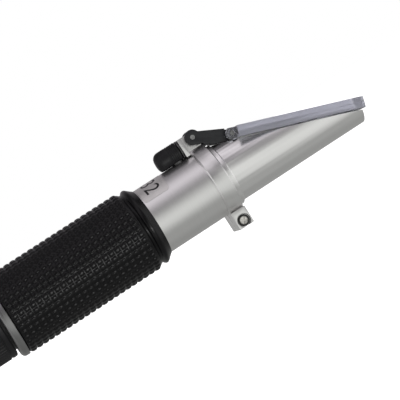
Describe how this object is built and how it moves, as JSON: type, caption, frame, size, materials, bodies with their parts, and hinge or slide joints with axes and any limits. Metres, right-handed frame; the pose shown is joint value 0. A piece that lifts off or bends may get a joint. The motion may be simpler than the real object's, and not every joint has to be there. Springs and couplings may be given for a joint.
{
  "type": "refractometer",
  "caption": "Hand-held optical refractometer: slanted glass prism under a hinged clear plate, calibration screw, bumpy rubber grip and focusing eyepiece.",
  "frame": {"origin": "middle of the base of the bounding box, on the optical axis' middle plane", "axes": "+X along the optical axis from the eyepiece to the prism, +Z towards the hinge side"},
  "size_m": [0.1688, 0.038, 0.038],
  "materials": {
    "satin_aluminium": "satin anodised, fine turning marks",
    "prism_glass": "polished optical glass",
    "lens_glass": "polished optical glass",
    "black_sealant": "matt",
    "grip_rubber": "moulded grid of bumps",
    "cap_rubber": "moulded",
    "focus_rubber": "ribbed",
    "eyecup_rubber": "soft, matt",
    "label_film": "printed film",
    "black_link": "moulded",
    "clear_acrylic": "tinted clear acrylic",
    "bright_steel": "nickel plated",
    "boss_metal": "nickel plated brass",
    "black_anodised": "black anodised",
    "bimetal": "rolled strip",
    "black_plastic": "moulded"
  },
  "bodies": {
    "barrel": {"main_tube": "satin_aluminium", "prism_housing": "satin_aluminium", "main_prism": "prism_glass", "prism_seal": "black_sealant", "grip_sleeve": "grip_rubber", "rear_trim_ring": "satin_aluminium", "scale_label": "label_film", "hinge_collar": "satin_aluminium", "collar_clamp_screw": "bright_steel", "zero_screw_block": "boss_metal", "adjuster_guide": "black_anodised", "reticle_cell": "black_anodised", "reticle_disc": "lens_glass", "reticle_ring": "black_anodised", "eyepiece_barrel": "black_plastic", "guide_screw": "bright_steel", "front_baffle": "black_anodised", "rear_baffle": "black_anodised"},
    "link": {"hinge_link": "black_link", "link_pin": "bright_steel", "plate_pin": "bright_steel"},
    "plate": {"daylight_plate": "clear_acrylic"},
    "zero_cap": {"zero_screw_cap": "cap_rubber"},
    "zero_drive": {"zero_screw": "boss_metal"},
    "objective": {"adjuster_slider": "black_anodised", "bimetal_strip": "bimetal", "strip_screws": "bright_steel", "objective_cell": "black_anodised", "objective_lens": "lens_glass", "objective_ring": "black_anodised"},
    "lens_carrier": {"lens_cell": "black_anodised", "field_lens": "lens_glass", "field_lens_ring": "black_anodised", "lens_spacer": "black_anodised", "eye_lens": "lens_glass", "ring_retainer": "black_anodised"},
    "focus": {"focus_ring": "black_plastic", "focus_grip": "focus_rubber", "eyecup": "eyecup_rubber"}
  },
  "joints": [
    {"name": "link_pivot", "type": "hinge", "parent": "barrel", "child": "link", "pos_m": [0.03171, 0, 0.03462], "axis": [0, -1, 0], "range_deg": [0, 105]},
    {"name": "plate_pivot", "type": "hinge", "parent": "link", "child": "plate", "pos_m": [0.04301, 0, 0.02892], "axis": [0, -1, 0], "range_deg": [0, 60]},
    {"name": "cap_pull", "type": "slide", "parent": "barrel", "child": "zero_cap", "axis": [-1, 0, 0], "range_m": [0, 0.009]},
    {"name": "zero_turn", "type": "hinge", "parent": "barrel", "child": "zero_drive", "pos_m": [0.02391, 0, 0.0331], "axis": [1, 0, 0], "range_deg": [-45, 45]},
    {"name": "objective_shift", "type": "slide", "parent": "barrel", "child": "objective", "axis": [0, 0, 1], "range_m": [-0.00014, 0.00014]},
    {"name": "focus_slide", "type": "slide", "parent": "barrel", "child": "lens_carrier", "axis": [-1, 0, 0], "range_m": [0, 0.00302]},
    {"name": "focus_turn", "type": "hinge", "parent": "lens_carrier", "child": "focus", "pos_m": [-0.05079, 0, 0.019], "axis": [-1, 0, 0], "range_deg": [0, 360]}
  ],
  "couplings": [
    {"joint": "zero_turn", "follows": "objective_shift", "rad_per_m": 5553.6},
    {"joint": "focus_slide", "follows": "focus_turn", "m_per_rad": 0.00047746}
  ]
}
